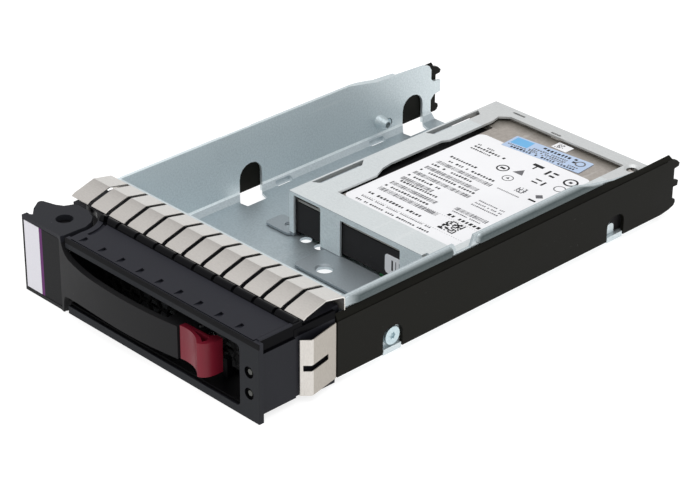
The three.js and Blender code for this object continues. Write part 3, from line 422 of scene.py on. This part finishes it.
PLASTICS = {
    "charcoal": ("charcoal_plastic", rgb(0.0165, 0.0170, 0.0190), rgb(0.013, 0.0134, 0.0155), 0.5,
                 {"painted_shading": LEVER_PAINTED_SHADING}),
    "rail": ("rail_plastic", rgb(0.0085, 0.0083, 0.0062), rgb(0.0065, 0.0063, 0.0047), 0.45,
             {"grain": 1500.0, "strength": 0.06, "spec": 0.07}),
    "black": ("black_plastic", rgb(0.012, 0.012, 0.0125), rgb(0.008, 0.008, 0.009), 0.42, {}),
    "maroon": ("maroon_plastic", rgb(0.18, 0.010, 0.023), rgb(0.15, 0.008, 0.019), 0.36,
               {"grain": 1800.0, "strength": 0.05, "spec": 0.25, "painted_shading": LATCH_PAINTED_SHADE}),
    "casting": ("coated_casting", rgb(0.029, 0.028, 0.029), rgb(0.023, 0.022, 0.023), 0.5,
                {"grain": 1400.0, "strength": 0.2}),
    "rubber": ("gasket_rubber", grey(0.015), grey(0.01), 0.8, {}),
    "paper": ("label_paper", rgb(0.88, 0.88, 0.90), rgb(0.85, 0.85, 0.87), 0.5, SMOOTH_FILM),
    "blue": ("blue_film", rgb(0.50, 0.61, 0.80), rgb(0.44, 0.56, 0.76), 0.35, SMOOTH_FILM),
    "cyan": ("cyan_print", rgb(0.20, 0.50, 0.80), rgb(0.14, 0.42, 0.74), 0.35, SMOOTH_FILM),
    "ink": ("black_print", rgb(0.016, 0.016, 0.018), rgb(0.010, 0.010, 0.011), 0.5, SMOOTH_FILM),
    "grey_ink": ("grey_print", rgb(0.17, 0.17, 0.18), rgb(0.12, 0.12, 0.13), 0.5, SMOOTH_FILM),
    "board": ("circuit_laminate", rgb(0.03, 0.16, 0.06), rgb(0.02, 0.11, 0.04), 0.35, {"grain": 1500.0}),
    "amber": ("flex_film", rgb(0.55, 0.26, 0.05), rgb(0.42, 0.18, 0.03), 0.35,
              {"grain": 1500.0, "strength": 0.05}),
    "ramp": ("ramp_plastic", rgb(0.8, 0.78, 0.7), rgb(0.72, 0.7, 0.62), 0.4, {}),
    "felt": ("filter_felt", rgb(0.8, 0.8, 0.75), rgb(0.65, 0.65, 0.6), 0.9,
             {"grain": 1200.0, "strength": 0.8}),
    "pipe": ("light_pipe_plastic", rgb(0.040, 0.042, 0.034), rgb(0.022, 0.023, 0.018), 0.2,
             {"grain": 900.0, "strength": 0.05, "spec": 0.45}),
}


def build_materials():
    made = {}
    for key, (name, color, dark, rough, settings) in STEELS.items():
        made[key] = steel(name, color, dark, rough, **settings)
    for key, (name, color, dark, rough, settings) in PLASTICS.items():
        made[key] = moulded(name, color, dark, rough, **settings)
    made["bezel"] = bezel_plastic()
    made["vent"] = vent_plastic()
    made["lever_label"] = lever_label_print()
    return made


MATERIALS = build_materials()

# The pieces of each finish. The pieces that aren't listed are nickel.
FINISH = {
    "zinc": ["tray"],
    "pale": ["drive_bracket"],
    "spring": ["emi_finger_strip", "emi_clip_right", "emi_clip_left"],
    "bezel": ["bezel"],
    "charcoal": ["ejector_lever", "lever_pin"],
    "rail": ["left_rail", "right_rail"],
    "maroon": ["release_latch"],
    "pipe": ["light_pipe_lower", "light_pipe_upper"],
    "screw": ["rail_screw_right_front", "rail_screw_left_front", "rail_screw_left_rear", "drive_screw_front",
              "drive_screw_rear"],
    "lever_label": ["lever_label"],
    "paper": ["drive_label", "small_tag", "front_tag"],
    "blue": ["asset_label"],
    "casting": ["drive_base"],
    "cover": ["drive_cover"],
    "board": ["circuit_board"],
    "vent": ["honeycomb_vent"],
    "black": ["sas_connector", "seal_tape"],
    "rubber": ["cover_gasket"],
    "machined": ["spindle_hub", "platter_spacer", "actuator_arm"],
    "disk": ["platter_lower", "platter_upper"],
    "copper": ["motor_stator", "voice_coil"],
    "amber": ["flex_cable"],
    "ramp": ["head_ramp"],
    "felt": ["air_filter"],
}
FINISH_OF = {node: key for key, names in FINISH.items() for node in names}


# ---------------------------------------------------------------- rounded edges
WELD_DISTANCE = 0.002 * MM
FLAT_ANGLE = math.radians(1.0)
BEVEL_ANGLE = math.radians(35.0)
BEVEL_SEGMENTS = 2
SMOOTH_ANGLE = math.radians(40.0)


def smooth_group(angle):
    """A node group that shades faces smooth and keeps edges sharper than the angle crisp."""
    group = bpy.data.node_groups.new("smooth_by_angle", "GeometryNodeTree")
    group.interface.new_socket("Geometry", in_out="INPUT", socket_type="NodeSocketGeometry")
    group.interface.new_socket("Geometry", in_out="OUTPUT", socket_type="NodeSocketGeometry")
    start = group.nodes.new("NodeGroupInput")
    end = group.nodes.new("NodeGroupOutput")
    edge_angle = group.nodes.new("GeometryNodeInputMeshEdgeAngle")
    shallow = group.nodes.new("FunctionNodeCompare")
    shallow.data_type = "FLOAT"
    shallow.operation = "LESS_EQUAL"
    shallow.inputs[1].default_value = angle
    edges = group.nodes.new("GeometryNodeSetShadeSmooth")
    edges.domain = "EDGE"
    faces = group.nodes.new("GeometryNodeSetShadeSmooth")
    faces.domain = "FACE"
    group.links.new(edge_angle.outputs["Unsigned Angle"], shallow.inputs[0])
    group.links.new(start.outputs[0], edges.inputs["Geometry"])
    group.links.new(shallow.outputs[0], edges.inputs["Shade Smooth"])
    group.links.new(edges.outputs[0], faces.inputs["Geometry"])
    group.links.new(faces.outputs[0], end.inputs[0])
    return group


SMOOTH = smooth_group(SMOOTH_ANGLE)


def soften(obj, width):
    """Rounds a CAD piece's edges: merges flat triangles, bevels the real edges, then shades by weight."""
    weld = obj.modifiers.new("weld", "WELD")
    weld.merge_threshold = WELD_DISTANCE
    flat = obj.modifiers.new("flat", "DECIMATE")
    flat.decimate_type = "DISSOLVE"
    flat.angle_limit = FLAT_ANGLE
    bevel = obj.modifiers.new("bevel", "BEVEL")
    bevel.width = width
    bevel.segments = BEVEL_SEGMENTS
    bevel.limit_method = "ANGLE"
    bevel.angle_limit = BEVEL_ANGLE
    smooth = obj.modifiers.new("smooth", "NODES")
    smooth.node_group = SMOOTH
    weighted = obj.modifiers.new("weighted", "WEIGHTED_NORMAL")
    weighted.keep_sharp = True


# Edge rounding in millimetres: the usual width, and the widths that differ from it.
USUAL_ROUNDING = 0.12
ROUNDING = {
    "bezel": 0.25, "ejector_lever": 0.3, "release_latch": 0.35, "left_rail": 0.2, "right_rail": 0.2,
    "emi_finger_strip": 0.08, "honeycomb_vent": 0.1, "platter_lower": 0.04, "platter_upper": 0.04,
    "drive_label": 0, "asset_label": 0, "small_tag": 0, "front_tag": 0, "lever_label": 0, "seal_tape": 0,
}


def dress_pieces():
    for name, obj in nodes.items():
        obj.data.materials.clear()
        obj.data.materials.append(MATERIALS[FINISH_OF.get(name, "nickel")])
        soften(obj, ROUNDING.get(name, USUAL_ROUNDING) * MM)


dress_pieces()


# ---------------------------------------------------------------- print on the labels
# Print stands this far above its label and reaches this far into it.
INK_RISE = 0.02 * MM
INK_SINK = 0.02 * MM
RING_SECTORS = 20
DRIVE_PRINT_SEED = 7
ASSET_PRINT_SEED = 11


def lying(a, b, height):
    return (a, b, height)


def facing_front(a, b, height):
    return (a, -height, b)


def prisms(name, outlines, surface, ink, place=lying):
    """One mesh of closed flat prisms at a surface. Outlines are in metres and run counter-clockwise."""
    mesh = bmesh.new()
    for outline in outlines:
        bottom = [mesh.verts.new(place(a, b, surface - INK_SINK)) for a, b in outline]
        top = [mesh.verts.new(place(a, b, surface + INK_RISE)) for a, b in outline]
        mesh.faces.new(list(reversed(bottom)))
        mesh.faces.new(top)
        for i in range(len(outline)):
            j = (i + 1) % len(outline)
            mesh.faces.new((bottom[i], bottom[j], top[j], top[i]))
    data = bpy.data.meshes.new(name)
    mesh.to_mesh(data)
    mesh.free()
    data.materials.append(MATERIALS[ink])
    obj = bpy.data.objects.new(name, data)
    bpy.context.collection.objects.link(obj)
    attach(obj, "carrier")


def rect(x, y, width, height):
    """A rectangle in label millimetres, measured from its lower left corner."""
    return [(x, y), (x + width, y), (x + width, y + height), (x, y + height)]


def on_circle(x, y, radius, angle):
    return (x + radius * math.cos(angle), y + radius * math.sin(angle))


def ring(x, y, outer, inner):
    """A ring as a run of four-sided sectors."""
    sectors = []
    for i in range(RING_SECTORS):
        a = 2 * math.pi * i / RING_SECTORS
        b = 2 * math.pi * (i + 1) / RING_SECTORS
        sectors.append([
            on_circle(x, y, inner, a),
            on_circle(x, y, outer, a),
            on_circle(x, y, outer, b),
            on_circle(x, y, inner, b),
        ])
    return sectors


def triangle(x, y, radius):
    """A triangle that points to the rear of the drive."""
    return [on_circle(x, y, radius, math.pi / 2 + 2 * math.pi * i / 3) for i in range(3)]


def diamond(x, y, radius):
    return [on_circle(x, y, radius, 2 * math.pi * i / 4) for i in range(4)]


def dash_row(rng, x, y, length, height):
    """A row of plain blocks of mixed width, as print looks from a distance. It spells nothing."""
    # All but the last are shares of the row's height.
    narrowest = 0.45
    widest = 0.8
    lowest = 0.72
    gap = 0.38
    blank_chance = 0.14
    marks = []
    at = x
    while at < x + length:
        width = rng.uniform(narrowest, widest) * height
        rise = rng.uniform(lowest, 1.0) * height
        if rng.random() > blank_chance:
            marks.append(rect(at, y, width, rise))
        at += width + gap * height
    return marks


def bar_row(rng, x, y, length, height):
    """A row of plain upright bars of mixed width."""
    step = 0.18
    marks = []
    at = x
    while at < x + length:
        width = rng.choice((step, step, 2 * step, 3 * step))
        marks.append(rect(at, y, width, height))
        at += width + rng.choice((step, 2 * step, 2 * step))
    return marks


def cell_patch(rng, x, y, size, count, fill):
    """A square patch of random cells."""
    cell = size / count
    marks = []
    for column in range(count):
        for row in range(count):
            if rng.random() < fill:
                marks.append(rect(x + column * cell, y + row * cell, cell, cell))
    return marks


def tick_line(y):
    """A dashed rule from one side of the drive label to the other."""
    left = 1.4
    right = 44.6
    dash = 0.5
    thickness = 0.12
    pitch = 1.0
    marks = []
    at = left
    while at < right:
        marks.append(rect(at, y, dash, thickness))
        at += pitch
    return marks


def to_label(outlines, corner, turn=0.0):
    """Outlines in label millimetres, turned by an angle and moved to a corner in metres."""
    c = math.cos(turn) * MM
    s = math.sin(turn) * MM

    def placed(x, y):
        return (corner[0] + x * c - y * s, corner[1] + x * s + y * c)

    return [[placed(x, y) for x, y in outline] for outline in outlines]


# Places on the drive label are in millimetres from a point this far in from its left edge, on its front edge.
LABEL_MARGIN = 3.0
LABEL_LOW, LABEL_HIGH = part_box("drive_label")
LABEL_CORNER = (LABEL_LOW[0] + LABEL_MARGIN * MM, LABEL_LOW[1])
LABEL_TOP = LABEL_HIGH[2]

# Rows of blocks: left end, height on the label, length and the row's own height.
HEADING_ROWS = ((2.0, 57.9, 7.0, 0.9), (2.0, 56.0, 13.5, 1.25), (2.0, 54.2, 8.5, 0.9), (2.0, 44.4, 11.0, 1.2))
# Left column: height on the label of a row of blocks, its length, and the length of the bars under it.
CODE_ROWS = (
    (41.5, 24.0, 24.0),
    (36.0, 17.0, 23.0),
    (30.6, 24.0, 24.5),
    (24.9, 14.0, 13.5),
    (20.0, 17.0, 20.0),
    (14.4, 19.0, 26.0),
)
CODE_LEFT = 1.6
BARS_BELOW = 3.4
BARS_HEIGHT = 2.0
SMALL_ROW_PLACES = (28.5, 26.6, 24.9)
TICK_PLACES = (13.2, 4.9)


def build_drive_print():
    rng = random.Random(DRIVE_PRINT_SEED)
    black_marks = []
    grey_marks = []
    for row in HEADING_ROWS:
        black_marks += dash_row(rng, *row)
    for y, text_length, bar_length in CODE_ROWS:
        black_marks += dash_row(rng, CODE_LEFT, y, text_length, 1.2)
        grey_marks += bar_row(rng, CODE_LEFT, y - BARS_BELOW, bar_length, BARS_HEIGHT)
    black_marks += dash_row(rng, CODE_LEFT, 6.9, 23.0, 1.3)
    grey_marks += dash_row(rng, CODE_LEFT, 3.8, 30.0, 0.8)
    black_marks += dash_row(rng, CODE_LEFT, 1.2, 32.0, 1.0)
    # right column: small rows, bars, a broad row and a square of cells
    for y in SMALL_ROW_PLACES:
        grey_marks += dash_row(rng, 30.0, y, 11.0, 0.8)
    grey_marks += bar_row(rng, 28.4, 18.6, 13.5, BARS_HEIGHT)
    grey_marks += dash_row(rng, 29.0, 17.2, 12.0, 0.8)
    black_marks += dash_row(rng, 29.6, 14.2, 13.0, 1.6)
    black_marks += cell_patch(rng, 33.0, 6.2, size=6.6, count=12, fill=0.55)
    # plain shapes in the upper part of the label
    black_marks += ring(19.6, 51.2, 2.3, 1.75) + [rect(18.6, 50.7, 2.0, 1.0)]
    black_marks += ring(25.6, 47.0, 2.0, 1.7) + [triangle(25.6, 47.0, 0.8)]
    grey_marks += [triangle(25.6, 52.8, 2.4)]
    black_marks += [rect(24.6, 60.0, 4.4, 1.5), rect(26.4, 57.8, 0.6, 2.2)]
    black_marks += [rect(31.6, 57.6, 1.0, 3.4), rect(33.6, 57.6, 2.2, 1.0), rect(33.6, 60.0, 2.2, 1.0)]
    black_marks += [rect(32.2, 50.8, 2.6, 0.7), rect(32.2, 53.0, 2.6, 0.7), rect(36.0, 50.8, 0.8, 2.9)]
    black_marks += ring(42.0, 59.3, 2.6, 1.9) + [rect(41.4, 58.7, 1.2, 1.2)]
    grey_marks += ring(42.4, 53.4, 2.1, 1.7)
    grey_marks += cell_patch(rng, 32.8, 42.0, size=3.6, count=8, fill=0.5)
    grey_marks += dash_row(rng, 28.0, 39.2, 9.0, 0.7)
    black_marks += [rect(40.0, 40.6, 3.0, 0.9)]
    grey_marks += [diamond(41.5, 44.6, 1.6)]
    for y in TICK_PLACES:
        grey_marks += tick_line(y)
    prisms("drive_label_black_marks", to_label(black_marks, LABEL_CORNER), LABEL_TOP, "ink")
    prisms("drive_label_grey_marks", to_label(grey_marks, LABEL_CORNER), LABEL_TOP, "grey_ink")


# The blue label is this deep, in millimetres, and stuck on turned by this angle.
ASSET_DEPTH = 8.8
ASSET_TURN = math.radians(5.0)


def build_asset_print():
    """Marks on the blue label, then the patch of cells on the small tag beside it."""
    rng = random.Random(ASSET_PRINT_SEED)
    dark_marks = dash_row(rng, 14.0, 6.2, 10.0, 1.5)
    dark_marks += [rect(12.3, 6.7, 1.1, 1.1), rect(25.0, 6.7, 1.1, 1.1), rect(25.4, 4.8, 1.1, 1.1)]
    dark_marks += dash_row(rng, 1.0, 0.6, 28.5, 1.2)
    grey_marks = dash_row(rng, 9.0, 4.4, 15.0, 0.9) + dash_row(rng, 9.0, 3.1, 15.5, 0.9)
    grey_marks += dash_row(rng, 1.0, 2.1, 28.0, 0.8) + ring(28.4, 5.6, 1.9, 1.35)
    patch = [rect(1.0, 3.4, 7.0, 4.6)]
    # The turned label's front left corner is in from its box's left side and on the box's front side.
    box_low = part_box("asset_label")[0]
    corner = (box_low[0] + ASSET_DEPTH * math.sin(ASSET_TURN) * MM, box_low[1])
    for name, marks, ink in (
        ("asset_label_dark_marks", dark_marks, "ink"),
        ("asset_label_grey_marks", grey_marks, "grey_ink"),
        ("asset_label_cyan_patch", patch, "cyan"),
    ):
        prisms(name, to_label(marks, corner, ASSET_TURN), LABEL_TOP, ink)
    cells = cell_patch(rng, 0.8, 0.6, size=3.0, count=7, fill=0.5)
    prisms("small_tag_marks", to_label(cells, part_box("small_tag")[0]), LABEL_TOP, "grey_ink")


def build_front_tag_print():
    """Upright marks on the tag that faces the front. The first mark is broad, the others are thin."""
    mark_low = 1.6
    mark_height = 3.6
    bar = [rect(2.9, mark_low, 0.7, mark_height)]
    lines = [rect(x, mark_low, 0.35, mark_height) for x in (4.6, 6.2)]
    low_x, low_y, low_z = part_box("front_tag")[0]
    for name, marks, ink in (("front_tag_bar", bar, "ink"), ("front_tag_lines", lines, "grey_ink")):
        prisms(name, to_label(marks, (low_x, low_z)), -low_y, ink, facing_front)


build_drive_print()
build_asset_print()
build_front_tag_print()


# ---------------------------------------------------------------- stage
FLOOR_HALF = 3.0
FLOOR_TONE = 0.35
FLOOR_GLOW = 0.8
SKY_GLOW = 0.8
KEY_PLACE = (0.1, -0.15, 0.9)
KEY_SIZE = 0.8
KEY_WATTS = 3.0


def build_floor():
    low = cad_box[0][2]
    mesh = bpy.data.meshes.new("floor")
    corners = [(x * FLOOR_HALF, y * FLOOR_HALF, low) for x, y in ((-1, -1), (1, -1), (1, 1), (-1, 1))]
    mesh.from_pydata(corners, [], [(0, 1, 2, 3)])
    floor = bpy.data.objects.new("floor", mesh)
    bpy.context.collection.objects.link(floor)
    g = Graph("pale_floor")
    g.set(color=grey(FLOOR_TONE), rough=0.9, spec=0.05)
    g.bsdf.inputs["Emission Color"].default_value = grey(1.0)
    g.bsdf.inputs["Emission Strength"].default_value = FLOOR_GLOW
    floor.data.materials.append(g.material)


def build_sky():
    world = bpy.data.worlds.new("studio")
    world.use_nodes = True
    back = world.node_tree.nodes["Background"]
    back.inputs["Color"].default_value = grey(1.0)
    back.inputs["Strength"].default_value = SKY_GLOW
    bpy.context.scene.world = world


def build_key_light():
    """A square soft light above and in front, aimed at the frame's origin."""
    light = bpy.data.lights.new("key", "AREA")
    light.shape = "RECTANGLE"
    light.size = KEY_SIZE
    light.size_y = KEY_SIZE
    light.energy = KEY_WATTS
    obj = bpy.data.objects.new("key", light)
    obj.location = KEY_PLACE
    obj.rotation_euler = (-Vector(KEY_PLACE)).to_track_quat("-Z", "Y").to_euler()
    bpy.context.collection.objects.link(obj)


# The camera stands and looks in metres and degrees. The lens is in millimetres, the shift in picture widths.
CAMERA_PLACE = (0.48664, -0.49210, 0.37417)
CAMERA_AZIMUTH = 45.66
CAMERA_ELEVATION = 28.75
CAMERA_ROLL = 0.47
CAMERA_LENS = 124.56
CAMERA_SHIFT = (-0.00136, -0.00196)
CAMERA_NEAREST = 0.01


def build_camera():
    camera = bpy.data.cameras.new("camera")
    camera.lens = CAMERA_LENS
    camera.shift_x, camera.shift_y = CAMERA_SHIFT
    camera.clip_start = CAMERA_NEAREST
    obj = bpy.data.objects.new("camera", camera)
    turn = Matrix.Rotation(math.radians(CAMERA_AZIMUTH), 4, "Z")
    tilt = Matrix.Rotation(math.radians(90.0 - CAMERA_ELEVATION), 4, "X")
    roll = Matrix.Rotation(math.radians(CAMERA_ROLL), 4, "Z")
    obj.matrix_world = Matrix.Translation(CAMERA_PLACE) @ turn @ tilt @ roll
    bpy.context.collection.objects.link(obj)
    bpy.context.scene.camera = obj


build_floor()
build_sky()
build_key_light()
build_camera()
bpy.context.scene.view_settings.view_transform = "Standard"
